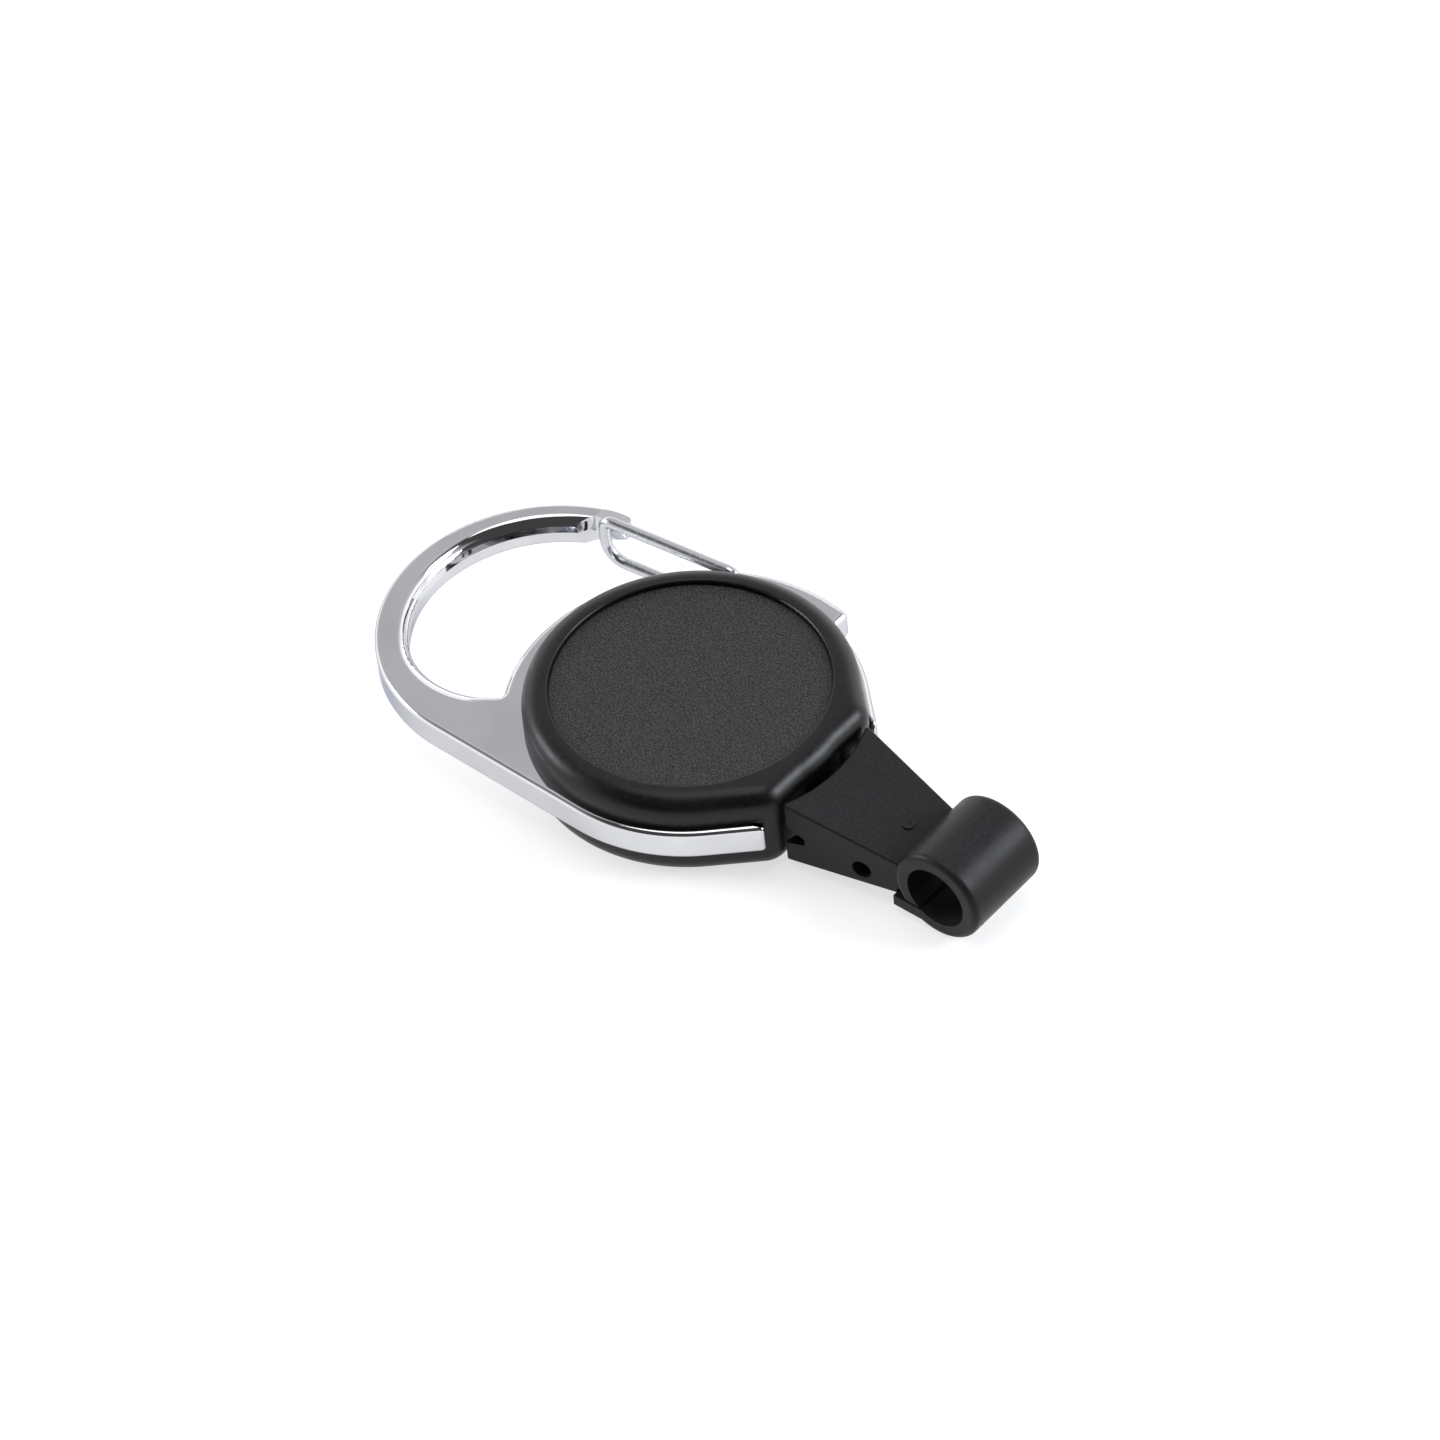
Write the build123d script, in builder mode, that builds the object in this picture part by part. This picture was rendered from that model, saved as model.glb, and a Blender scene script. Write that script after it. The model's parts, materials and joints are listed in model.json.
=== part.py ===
from build123d import *
import os
from math import acos, asin, cos, degrees, radians, sin, sqrt

# Retractable badge reel with a carabiner frame and a clamp fitting on its cord.
# Millimetres, +Z up. The spool axis is the Z axis, the rear cover rests on Z = 0,
# the hook is at -X, the cord leaves towards +X and the wire gate is on the +Y side.

# ---------------------------------------------------------------- driving sizes

# Case
case_radius = 17.9
case_height = 10.8
shoulder_radius = 2.3
recess_radius = 15.0
recess_depth = 0.6
rim_round = 0.3
cover_floor = 1.1
side_wall = 2.2
spigot_wall = 1.0
block_setback = 0.2
block_tangent_angle = 47.0
block_corner_radius = 3.0
block_half_width = 8.9

# Carabiner frame
frame_thickness = 3.6
arm_stand = 0.85
plate_stand = 2.3
plate_end_x = 4.8
plate_offset_x = 0.45
plate_offset_y = 0.75
shoulder_corner_radius = 1.4
hook_stand = 2.3
hook_centre_y = 0.3
hook_radius = 18.6
loop_offset_x = 0.1
loop_offset_y = 0.5
loop_radius = 15.4
loop_heel_radius = 10.0
loop_heel_angle = 226.5
loop_heel_sweep = 95.0
heel_corner_angle = 304.5
heel_corner_radius = 0.9
notch_angle = 120.0
nose_reach = 3.4
nose_root_step = 1.0
nose_root_thickness = 1.7
nose_tip_thickness = 1.2
nose_relief = 0.7
nose_relief_depth = 4.0
nose_tip_round = 0.45
outer_edge_round = 0.55
loop_edge_round = 0.8
arm_end_round = 1.0
arm_end_edge_round = 0.4

# Wire gate
wire_diameter = 1.3
gate_hinge_inset = 1.185
gate_hinge_angle = 114.88
gate_tip_back = 4.75
gate_tip_side = 15.1
gate_leg_gap = 0.3
gate_bend_radius = 1.05
gate_lower_bend_radius = 2.5
gate_pin_depth = 1.4

# Spool, spring and axle
groove_height = 3.6
flange_thickness = 0.8
flange_radius = 13.0
groove_root_radius = 9.8
chamber_radius = 8.5
post_radius = 1.5
post_head_radius = 2.6
post_head_height = 0.6
post_head_inset = 0.15
bush_wall = 0.8
washer_thickness = 0.3
washer_radius = 3.2
clip_thickness = 0.4
clip_radius = 2.7
clip_groove_depth = 0.4
clip_mouth = 2.25
spring_strip = 0.15
spring_inner_radius = 2.0
spring_pitch = 0.5
spring_half_turns = 23
spring_clearance = 0.2
anchor_pin_radius = 0.2

# Screws
cover_screw_circle = 14.4
cover_screw_radius = 0.6
cover_screw_head_radius = 0.95
cover_screw_head_height = 0.55
cover_screw_angles = (70.0, 145.0, 215.0, 290.0)
cover_boss_radius = 1.1
lid_screw_radius = 0.35
lid_screw_head_radius = 0.6
lid_screw_head_height = 0.35
lid_screw_count = 3
driver_slot_width = 0.25

# Cord
cord_diameter = 0.8
winding_radius = 11.8
cord_lift = 0.1
cord_bend_gap = 1.1
cord_bend_radius = 2.4
cord_wrap_angle = 40.0
knot_radius = 0.65
knot_core_share = 0.8
knot_lobe_share = 0.62
knot_clearance = 0.15

# Cord eyelet
eyelet_bore_radius = 0.9
eyelet_wall = 0.8
eyelet_depth = 1.8
eyelet_stand = 0.35
eyelet_flange_radius = 2.2
eyelet_flange_thickness = 0.6

# Clamp fitting
nest_gap = 1.3
nest_rise = 1.25
nest_overrun = 1.5
wedge_mouth_half_width = 7.1
wedge_neck_half_width = 4.85
wedge_length = 13.05
wedge_top_start = 3.75
wedge_top_neck = 1.1
wedge_bottom_start = 4.5
wedge_bottom_neck = 3.45
wedge_edge_round = 0.3
tube_reach = 5.6
tube_radius = 5.35
tube_bore_radius = 3.6
tube_half_length = 5.5
tube_edge_round = 0.7
lip_top = 3.1
lip_bottom = 4.45
slit_height = 0.3
jaw_depth = 2.4
jaw_top = 0.85
jaw_bottom = 1.9
jaw_inner_top = 0.45
jaw_inner_bottom = 1.35
cross_hole_radius = 1.1
cross_hole_reach = 9.65
cross_hole_drop = 1.75
cord_channel_drop = 1.2

# Clearances and cutting
seat_clearance = 0.02
running_clearance = 0.05
frame_clearance = 0.05
axial_clearance = 0.05
screw_clearance = 0.05
channel_clearance = 0.2
cut_overrun = 1.0
match_tolerance = 0.01

# ---------------------------------------------------------------- derived places

mid_z = case_height / 2
block_front_x = case_radius - block_setback
plate_radius = case_radius + plate_stand
hook_centre_x = -case_radius - hook_stand
loop_centre_x = hook_centre_x + loop_offset_x
loop_centre_y = hook_centre_y + loop_offset_y
nose_end_x = hook_centre_x - nose_reach
gate_hinge_circle = plate_radius - gate_hinge_inset
gate_hinge_x = gate_hinge_circle * cos(radians(gate_hinge_angle))
gate_hinge_y = gate_hinge_circle * sin(radians(gate_hinge_angle))
gate_tip_x = hook_centre_x - gate_tip_back
gate_tip_y = hook_centre_y + gate_tip_side
eyelet_start_x = block_front_x - eyelet_depth
cord_bend_x = eyelet_start_x - cord_bend_gap
nest_radius = case_radius + nest_gap
wedge_start_x = nest_radius - nest_rise
wedge_neck_x = wedge_start_x + wedge_length
tube_x = wedge_neck_x + tube_reach
lip_start_x = wedge_neck_x
cross_hole_x = tube_x - cross_hole_reach
frame_half = frame_thickness / 2
cavity_radius = case_radius - side_wall
spigot_radius = cavity_radius + spigot_wall
front_cavity_depth = mid_z - recess_depth - cover_floor
rear_cavity_depth = mid_z - cover_floor
groove_half = groove_height / 2
stack_half = groove_half + flange_thickness
gate_leg_offset = frame_half + gate_leg_gap + wire_diameter / 2
cord_radius = cord_diameter / 2
cord_channel_radius = cord_radius + channel_clearance
lead_radius = winding_radius + cord_radius + cord_lift
exit_tangent_angle = degrees(acos(lead_radius / cord_bend_x))
post_hole_radius = post_radius + running_clearance
bush_radius = post_hole_radius + bush_wall
rear_boss_top = stack_half + washer_thickness + 2 * axial_clearance
lid_screw_circle = (chamber_radius + groove_root_radius) / 2
spring_half_height = groove_half - spring_clearance

FRONT = Plane(origin=(0, 0, mid_z), x_dir=(1, 0, 0), z_dir=(0, 0, 1))
REAR = Plane(origin=(0, 0, mid_z), x_dir=(1, 0, 0), z_dir=(0, 0, -1))
SIDE = Plane(origin=(0, 0, mid_z), x_dir=(1, 0, 0), z_dir=(0, -1, 0))


def level(offset):
    """Horizontal plane at a height above (or below) the middle of the case."""
    return Plane.XY.offset(mid_z + offset)


def ring(inner, outer, low, high):
    """Plain ring round the spool axis between two heights about the middle."""
    with BuildPart() as piece:
        with BuildSketch(level(low)):
            Circle(outer)
            Circle(inner, mode=Mode.SUBTRACT)
        extrude(amount=high - low)
    return piece.part


def save(piece, name):
    """Label a finished piece and write its STEP file."""
    piece.label = name
    export_step(piece, f"parts/{name}.step")


os.makedirs("parts", exist_ok=True)


# ---------------------------------------------------------------- case outline

def case_outline(grow):
    """Plan of the case: a circle whose sides run tangent into a front block."""
    radius = case_radius + grow
    front = block_front_x + grow
    angle = radians(block_tangent_angle)
    start_x = radius * cos(angle)
    start_y = radius * sin(angle)
    corner_y = start_y - (front - start_x) / sin(angle) * cos(angle)
    with BuildSketch() as plan:
        Circle(radius)
        with BuildLine():
            Polyline(
                (0, 0),
                (start_x, -start_y),
                (front, -corner_y),
                (front, corner_y),
                (start_x, start_y),
                close=True,
            )
        make_face()
        corners = plan.vertices().group_by(Axis.X)[-1]
        fillet(corners, radius=block_corner_radius + grow)
    return plan.sketch


CASE_PLAN = case_outline(0)
ARM_PLAN = case_outline(arm_stand)


# ---------------------------------------------------------------- covers

def cover_shell(seam, cavity_depth):
    """Half of the case: outer wall, spigot inside the frame, front block, bosses."""
    outward = Axis(seam.origin, seam.z_dir)
    with BuildPart() as shell:
        with BuildSketch(seam.offset(frame_half)):
            add(CASE_PLAN)
        extrude(amount=mid_z - frame_half)
        fillet(shell.edges().group_by(outward)[-1], radius=shoulder_radius)
        with BuildSketch(seam):
            Circle(spigot_radius)
        extrude(amount=frame_half)
        with BuildSketch(seam):
            add(CASE_PLAN)
            with Locations((case_radius, 0)):
                Rectangle(2 * case_radius, 2 * block_half_width, mode=Mode.INTERSECT)
        extrude(amount=frame_half)
        with BuildSketch(seam):
            Circle(cavity_radius)
        extrude(amount=cavity_depth, mode=Mode.SUBTRACT)
        with BuildSketch(seam):
            for angle in cover_screw_angles:
                with Locations(boss_place(angle)):
                    Circle(cover_boss_radius)
        extrude(amount=cavity_depth)
        with BuildSketch(seam.offset(rear_boss_top)):
            Circle(washer_radius)
        extrude(amount=cavity_depth - rear_boss_top)
        with BuildSketch(Plane.XZ):
            with BuildLine():
                Polyline(eyelet_seat_profile(), close=True)
            make_face()
        revolve(axis=Axis((0, 0, mid_z), (1, 0, 0)), mode=Mode.SUBTRACT)
    return shell.part


def boss_place(angle):
    """Plan position of a cover screw, mirrored alike in both covers."""
    return (
        cover_screw_circle * cos(radians(angle)),
        cover_screw_circle * sin(radians(angle)),
    )


eyelet_radius = eyelet_bore_radius + eyelet_wall
eyelet_end_x = block_front_x + eyelet_stand
eyelet_flange_x = eyelet_start_x + eyelet_flange_thickness


def eyelet_seat_profile():
    """Half section of the hole in the front block that holds the cord eyelet."""
    bore = mid_z + eyelet_radius + seat_clearance
    groove = mid_z + eyelet_flange_radius + seat_clearance
    start = cavity_radius - spigot_wall
    groove_start = eyelet_flange_x - seat_clearance
    groove_end = eyelet_flange_x + eyelet_flange_thickness + seat_clearance
    return [
        (start, mid_z),
        (start, bore),
        (groove_start, bore),
        (groove_start, groove),
        (groove_end, groove),
        (groove_end, bore),
        (block_front_x + cut_overrun, bore),
        (block_front_x + cut_overrun, mid_z),
    ]


front_shell = cover_shell(FRONT, front_cavity_depth)
rear_shell = cover_shell(REAR, rear_cavity_depth)

with BuildPart() as front_cover:
    add(front_shell)
    with BuildSketch(Plane.XY.offset(case_height)):
        Circle(recess_radius)
    extrude(amount=-recess_depth, mode=Mode.SUBTRACT)
    rim_edges = front_cover.edges().filter_by(GeomType.CIRCLE)
    rim_edges = rim_edges.filter_by(lambda e: abs(e.radius - recess_radius) < match_tolerance)
    fillet(rim_edges.group_by(Axis.Z)[-1], radius=rim_round)
    with BuildSketch(level(front_cavity_depth)):
        Circle(post_radius + seat_clearance)
    extrude(amount=cover_floor / 2, mode=Mode.SUBTRACT)
    with BuildSketch(level(rear_boss_top)):
        Circle(clip_radius + running_clearance)
    extrude(amount=front_cavity_depth - rear_boss_top, mode=Mode.SUBTRACT)
    with BuildSketch(FRONT):
        for screw_angle in cover_screw_angles:
            with Locations(boss_place(screw_angle)):
                Circle(cover_screw_radius + seat_clearance)
    extrude(amount=front_cavity_depth, mode=Mode.SUBTRACT)
save(front_cover.part, "front_cover")

with BuildPart() as rear_cover:
    add(rear_shell)
    with BuildSketch(Plane.XY):
        Circle(post_head_radius + seat_clearance)
    extrude(amount=post_head_inset + post_head_height, mode=Mode.SUBTRACT)
    with BuildSketch(Plane.XY):
        Circle(post_radius + seat_clearance)
    extrude(amount=mid_z, mode=Mode.SUBTRACT)
    with BuildSketch(Plane.XY):
        for screw_angle in cover_screw_angles:
            with Locations(boss_place(screw_angle)):
                Circle(cover_screw_head_radius + screw_clearance)
    extrude(amount=cover_screw_head_height + post_head_inset, mode=Mode.SUBTRACT)
    with BuildSketch(Plane.XY):
        for screw_angle in cover_screw_angles:
            with Locations(boss_place(screw_angle)):
                Circle(cover_screw_radius + screw_clearance)
    extrude(amount=mid_z, mode=Mode.SUBTRACT)
save(rear_cover.part, "rear_cover")

cover_screw_shank = mid_z + front_cavity_depth - post_head_inset - cover_screw_head_height

with BuildPart() as cover_screws:
    with BuildSketch(Plane.XY.offset(post_head_inset)):
        for screw_angle in cover_screw_angles:
            with Locations(boss_place(screw_angle)):
                Circle(cover_screw_head_radius)
    extrude(amount=cover_screw_head_height)
    with BuildSketch(Plane.XY.offset(post_head_inset + cover_screw_head_height)):
        for screw_angle in cover_screw_angles:
            with Locations(boss_place(screw_angle)):
                Circle(cover_screw_radius)
    extrude(amount=cover_screw_shank - axial_clearance)
    with BuildSketch(Plane.XY.offset(post_head_inset)):
        for screw_angle in cover_screw_angles:
            with Locations(boss_place(screw_angle)):
                Rectangle(2 * cover_screw_head_radius, driver_slot_width)
                Rectangle(driver_slot_width, 2 * cover_screw_head_radius)
    extrude(amount=cover_screw_head_height / 2, mode=Mode.SUBTRACT)
save(cover_screws.part, "cover_screws")

with BuildPart() as cord_eyelet:
    with BuildSketch(Plane.XZ):
        with BuildLine():
            Polyline(
                (eyelet_start_x, mid_z + eyelet_bore_radius),
                (eyelet_start_x, mid_z + eyelet_radius),
                (eyelet_flange_x, mid_z + eyelet_radius),
                (eyelet_flange_x, mid_z + eyelet_flange_radius),
                (eyelet_flange_x + eyelet_flange_thickness, mid_z + eyelet_flange_radius),
                (eyelet_flange_x + eyelet_flange_thickness, mid_z + eyelet_radius),
                (eyelet_end_x, mid_z + eyelet_radius),
                (eyelet_end_x, mid_z + eyelet_bore_radius),
                close=True,
            )
        make_face()
    revolve(axis=Axis((0, 0, mid_z), (1, 0, 0)))
    lip_edges = cord_eyelet.edges().filter_by(GeomType.CIRCLE)
    mouth_edges = lip_edges.filter_by(lambda e: abs(e.radius - eyelet_bore_radius) < match_tolerance)
    fillet(mouth_edges, radius=eyelet_wall / 2)
save(cord_eyelet.part, "cord_eyelet")


# ---------------------------------------------------------------- carabiner frame

def on_circle(centre_x, centre_y, radius, angle):
    """Point on a circle at an angle in degrees."""
    return (centre_x + radius * cos(radians(angle)), centre_y + radius * sin(radians(angle)))


def face_edges(piece, radius):
    """Arcs of one radius on the two flat faces of the frame."""
    arcs = piece.edges().filter_by(GeomType.CIRCLE)
    arcs = arcs.filter_by(lambda e: abs(e.radius - radius) < match_tolerance)
    return arcs.filter_by(lambda e: abs(abs(e.center().Z - mid_z) - frame_half) < match_tolerance)


def arm_corner(side, face, inset):
    """Place, across the reel, set in both ways from a corner of an arm's end."""
    return (side * (arm_end_y + inset), mid_z + face * (frame_half - inset))


arm_radius = case_radius + arm_stand
tangent_angle = -90 - degrees(asin((arm_radius - hook_radius) / -hook_centre_x))
web_hook_point = on_circle(hook_centre_x, hook_centre_y, hook_radius, tangent_angle)
web_arm_point = on_circle(0, 0, arm_radius, tangent_angle)
heel_start = on_circle(loop_centre_x, loop_centre_y, loop_radius, loop_heel_angle)
heel_centre = on_circle(
    loop_centre_x, loop_centre_y, loop_radius - loop_heel_radius, loop_heel_angle
)
heel_corner_place = on_circle(*heel_centre, loop_heel_radius, heel_corner_angle)
nose_outer_y = hook_centre_y + sqrt(hook_radius**2 - (nose_end_x - hook_centre_x) ** 2)
notch_point = on_circle(loop_centre_x, loop_centre_y, loop_radius, notch_angle)
nose_root_x = notch_point[0] + nose_root_step
nose_root_outer_y = hook_centre_y + sqrt(hook_radius**2 - (nose_root_x - hook_centre_x) ** 2)
nose_root = (nose_root_x, nose_root_outer_y - nose_root_thickness)
nose_tip_inner = (nose_end_x, nose_outer_y - nose_tip_thickness)
nose_half = frame_half - nose_relief
nose_run_out = nose_relief / (nose_end_x - nose_root_x) * cut_overrun
arm_end_y = block_half_width + frame_clearance

with BuildPart() as carabiner_frame:
    with BuildSketch(level(-frame_half)) as frame_plan:
        with Locations((hook_centre_x, hook_centre_y)):
            Circle(hook_radius)
        with BuildLine():
            Polyline(web_hook_point, web_arm_point, (0, 0), (hook_centre_x, hook_centre_y), close=True)
        make_face()
        with BuildLine():
            loop_arc = CenterArc(
                (loop_centre_x, loop_centre_y),
                loop_radius,
                notch_angle,
                loop_heel_angle - notch_angle,
            )
            heel_arc = CenterArc(heel_centre, loop_heel_radius, loop_heel_angle, loop_heel_sweep)
            Polyline(
                heel_arc @ 1,
                (0, 0),
                (0, plate_radius + cut_overrun),
                (nose_end_x, plate_radius + cut_overrun),
                nose_tip_inner,
                nose_root,
                loop_arc @ 0,
            )
        make_face(mode=Mode.SUBTRACT)
        with BuildSketch(mode=Mode.PRIVATE) as plate_plan:
            with Locations((0, 0), (plate_offset_x, plate_offset_y)):
                Circle(plate_radius)
            with BuildLine():
                Polyline(
                    (0, 0),
                    (plate_end_x, 0),
                    (plate_end_x, 2 * plate_radius),
                    (-2 * plate_radius, 2 * plate_radius),
                    (-2 * plate_radius, web_hook_point[1]),
                    web_hook_point,
                    web_arm_point,
                    close=True,
                )
            make_face(mode=Mode.INTERSECT)
        add(plate_plan.sketch)
        add(ARM_PLAN)
        Circle(spigot_radius + frame_clearance, mode=Mode.SUBTRACT)
        with Locations((case_radius, 0)):
            Rectangle(
                2 * case_radius,
                2 * arm_end_y,
                mode=Mode.SUBTRACT,
            )
        plate_corners = frame_plan.vertices().filter_by(
            lambda v: abs(v.X - plate_end_x) < match_tolerance and v.Y > 0
        )
        fillet(plate_corners, radius=shoulder_corner_radius / 2)
        nose_corners = frame_plan.vertices().filter_by(
            lambda v: abs(v.X - nose_end_x) < match_tolerance and v.Y > 0
        )
        fillet(nose_corners, radius=nose_tip_round)
        heel_corner = frame_plan.vertices().sort_by_distance(heel_corner_place)[0]
        fillet(heel_corner, radius=heel_corner_radius)
    extrude(amount=frame_thickness)
    with BuildSketch(level(-frame_half)):
        with Locations((gate_hinge_x, gate_hinge_y)):
            Circle(wire_diameter / 2 + running_clearance)
    extrude(amount=frame_thickness, mode=Mode.SUBTRACT)
    with BuildSketch(Plane(origin=(0, nose_outer_y, mid_z), x_dir=(1, 0, 0), z_dir=(0, -1, 0))):
        for face in (1, -1):
            with BuildLine():
                Polyline(
                    (nose_root_x, face * frame_half),
                    (nose_end_x + cut_overrun, face * (nose_half - nose_run_out)),
                    (nose_end_x + cut_overrun, face * frame_half),
                    close=True,
                )
            make_face()
    extrude(amount=nose_relief_depth, both=True, mode=Mode.SUBTRACT)
    upright_edges = carabiner_frame.edges().filter_by(Axis.Z)
    arm_end_edges = upright_edges.filter_by(
        lambda e: e.center().X > block_front_x - cut_overrun
        and abs(e.center().Y) < arm_end_y + arm_end_edge_round
    )
    fillet(arm_end_edges, radius=arm_end_edge_round)
    fillet(face_edges(carabiner_frame, hook_radius), radius=outer_edge_round)
    fillet(face_edges(carabiner_frame, loop_radius), radius=loop_edge_round)
    with BuildSketch(Plane.YZ.offset(plate_end_x)):
        for side in (1, -1):
            for face in (1, -1):
                with Locations(arm_corner(side, face, arm_end_round / 2)):
                    Rectangle(arm_end_round, arm_end_round)
        for side in (1, -1):
            for face in (1, -1):
                with Locations(arm_corner(side, face, arm_end_round)):
                    Circle(arm_end_round, mode=Mode.SUBTRACT)
    extrude(amount=2 * case_radius, mode=Mode.SUBTRACT)
save(carabiner_frame.part, "carabiner_frame")


# ---------------------------------------------------------------- wire gate

gate_low = mid_z - gate_leg_offset
gate_high = mid_z + gate_leg_offset
gate_pin_reach = frame_half - gate_pin_depth

with BuildPart() as wire_gate:
    with BuildLine() as gate_path:
        FilletPolyline(
            (gate_hinge_x, gate_hinge_y, mid_z + gate_pin_reach),
            (gate_hinge_x, gate_hinge_y, gate_high),
            (gate_tip_x, gate_tip_y, gate_high),
            (gate_tip_x, gate_tip_y, gate_low),
            (gate_hinge_x, gate_hinge_y, gate_low),
            (gate_hinge_x, gate_hinge_y, mid_z - gate_pin_reach),
            radius=[
                gate_bend_radius,
                gate_bend_radius,
                gate_lower_bend_radius,
                gate_bend_radius,
            ],
        )
    with BuildSketch(level(gate_pin_reach)):
        with Locations((gate_hinge_x, gate_hinge_y)):
            Circle(wire_diameter / 2)
    sweep(path=gate_path.line)
save(wire_gate.part, "wire_gate")


# ---------------------------------------------------------------- axle and washers

post_low = post_head_inset
post_high = mid_z + front_cavity_depth + cover_floor / 2 - axial_clearance
clip_low = stack_half + washer_thickness + 3 * axial_clearance

with BuildPart() as axle_post:
    with BuildSketch(Plane.XY.offset(post_low)):
        Circle(post_head_radius)
    extrude(amount=post_head_height)
    head_edges = axle_post.edges().filter_by(GeomType.CIRCLE).group_by(Axis.Z)[0]
    fillet(head_edges, radius=post_head_height / 3)
    with BuildSketch(Plane.XY.offset(post_low + post_head_height)):
        Circle(post_radius)
    extrude(amount=post_high - post_low - post_head_height)
    with BuildSketch(level(clip_low - axial_clearance)):
        Circle(post_radius)
        Circle(post_radius - clip_groove_depth, mode=Mode.SUBTRACT)
    extrude(amount=clip_thickness + 2 * axial_clearance, mode=Mode.SUBTRACT)
    with BuildSketch(level(-groove_half)):
        with Locations((post_radius, 0)):
            Rectangle(post_radius, spring_strip + 2 * running_clearance)
    extrude(amount=groove_height, mode=Mode.SUBTRACT)
save(axle_post.part, "axle_post")

with BuildPart() as retaining_clip:
    with BuildSketch(level(clip_low)):
        Circle(clip_radius)
        Circle(post_radius - clip_groove_depth + seat_clearance, mode=Mode.SUBTRACT)
        with Locations((clip_radius, 0)):
            Rectangle(2 * clip_radius, clip_mouth, mode=Mode.SUBTRACT)
    extrude(amount=clip_thickness)
save(retaining_clip.part, "retaining_clip")

washer_low = stack_half + axial_clearance
front_washer = ring(post_hole_radius, washer_radius, washer_low, washer_low + washer_thickness)
save(front_washer, "front_washer")
rear_washer = ring(post_hole_radius, washer_radius, -washer_low - washer_thickness, -washer_low)
save(rear_washer, "rear_washer")


# ---------------------------------------------------------------- spool and spring

def anchor_place(angle):
    """Plan position on the circle that the lid screws share."""
    return (lid_screw_circle * cos(radians(angle)), lid_screw_circle * sin(radians(angle)))


lid_screw_angles = [90 + 360 / lid_screw_count * index for index in range(lid_screw_count)]
knot_hole_place = (groove_root_radius + cord_radius + seat_clearance, 0)
anchor_pin_circle = chamber_radius - 2 * anchor_pin_radius

with BuildPart() as spool_drum:
    with BuildSketch(level(-stack_half)):
        Circle(flange_radius)
    extrude(amount=flange_thickness)
    with BuildSketch(level(-groove_half)):
        Circle(groove_root_radius)
        Circle(chamber_radius, mode=Mode.SUBTRACT)
    extrude(amount=groove_height)
    with BuildSketch(level(-stack_half)):
        Circle(bush_radius + seat_clearance)
        with Locations(knot_hole_place):
            Circle(cord_radius + seat_clearance)
        with Locations((0, anchor_pin_circle)):
            Circle(anchor_pin_radius + seat_clearance)
    extrude(amount=flange_thickness, mode=Mode.SUBTRACT)
    with BuildSketch(level(groove_half)):
        for screw_angle in lid_screw_angles:
            with Locations(anchor_place(screw_angle)):
                Circle(lid_screw_radius + seat_clearance)
    extrude(amount=-groove_half, mode=Mode.SUBTRACT)
save(spool_drum.part, "spool_drum")

drum_bush = ring(post_hole_radius, bush_radius, -stack_half, -groove_half)
save(drum_bush, "drum_bush")

with BuildPart() as spool_lid:
    with BuildSketch(level(groove_half + seat_clearance)):
        Circle(flange_radius)
        Circle(post_hole_radius, mode=Mode.SUBTRACT)
        for screw_angle in lid_screw_angles:
            with Locations(anchor_place(screw_angle)):
                Circle(lid_screw_radius + screw_clearance, mode=Mode.SUBTRACT)
    extrude(amount=flange_thickness - seat_clearance)
    with BuildSketch(level(stack_half)):
        for screw_angle in lid_screw_angles:
            with Locations(anchor_place(screw_angle)):
                Circle(lid_screw_head_radius + screw_clearance)
    extrude(amount=-lid_screw_head_height, mode=Mode.SUBTRACT)
save(spool_lid.part, "spool_lid")

with BuildPart() as lid_screws:
    with BuildSketch(level(stack_half - lid_screw_head_height)):
        for screw_angle in lid_screw_angles:
            with Locations(anchor_place(screw_angle)):
                Circle(lid_screw_head_radius)
    extrude(amount=lid_screw_head_height)
    with BuildSketch(level(stack_half - lid_screw_head_height)):
        for screw_angle in lid_screw_angles:
            with Locations(anchor_place(screw_angle)):
                Circle(lid_screw_radius)
    extrude(amount=lid_screw_head_height - flange_thickness - groove_half + axial_clearance)
    with BuildSketch(level(stack_half)):
        for screw_angle in lid_screw_angles:
            with Locations(anchor_place(screw_angle)):
                Rectangle(2 * lid_screw_head_radius, driver_slot_width)
    extrude(amount=-lid_screw_head_height / 2, mode=Mode.SUBTRACT)
save(lid_screws.part, "lid_screws")

with BuildPart() as spring_anchor:
    with BuildSketch(level(-stack_half)):
        with Locations((0, anchor_pin_circle)):
            Circle(anchor_pin_radius)
    extrude(amount=flange_thickness + groove_height - axial_clearance)
save(spring_anchor.part, "spring_anchor")


def spiral(start_radius):
    """Half circles about two centres, each wider than the last and tangent to it."""
    step = spring_pitch / 2
    for index in range(spring_half_turns):
        side = index % 2
        CenterArc((step * side, 0), start_radius + step * index, 180 * side, 180)


def spiral_end(start_radius):
    """Last point of a spiral, on the X axis at -X after an odd number of half turns."""
    last = spring_half_turns - 1
    step = spring_pitch / 2
    side = last % 2
    reach = start_radius + step * last
    return step * side + reach * (1 if side else -1)


with BuildPart() as spiral_spring:
    with BuildSketch(level(-spring_half_height)):
        with BuildLine():
            spiral(spring_inner_radius)
            spiral(spring_inner_radius + spring_strip)
            Line((spring_inner_radius, 0), (spring_inner_radius + spring_strip, 0))
            Line(
                (spiral_end(spring_inner_radius), 0),
                (spiral_end(spring_inner_radius + spring_strip), 0),
            )
        make_face()
        with Locations(((spring_inner_radius + spring_strip + post_radius / 2) / 2, 0)):
            Rectangle(spring_inner_radius + spring_strip - post_radius / 2, spring_strip)
    extrude(amount=2 * spring_half_height)
save(spiral_spring.part, "spiral_spring")


# ---------------------------------------------------------------- cord

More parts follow.
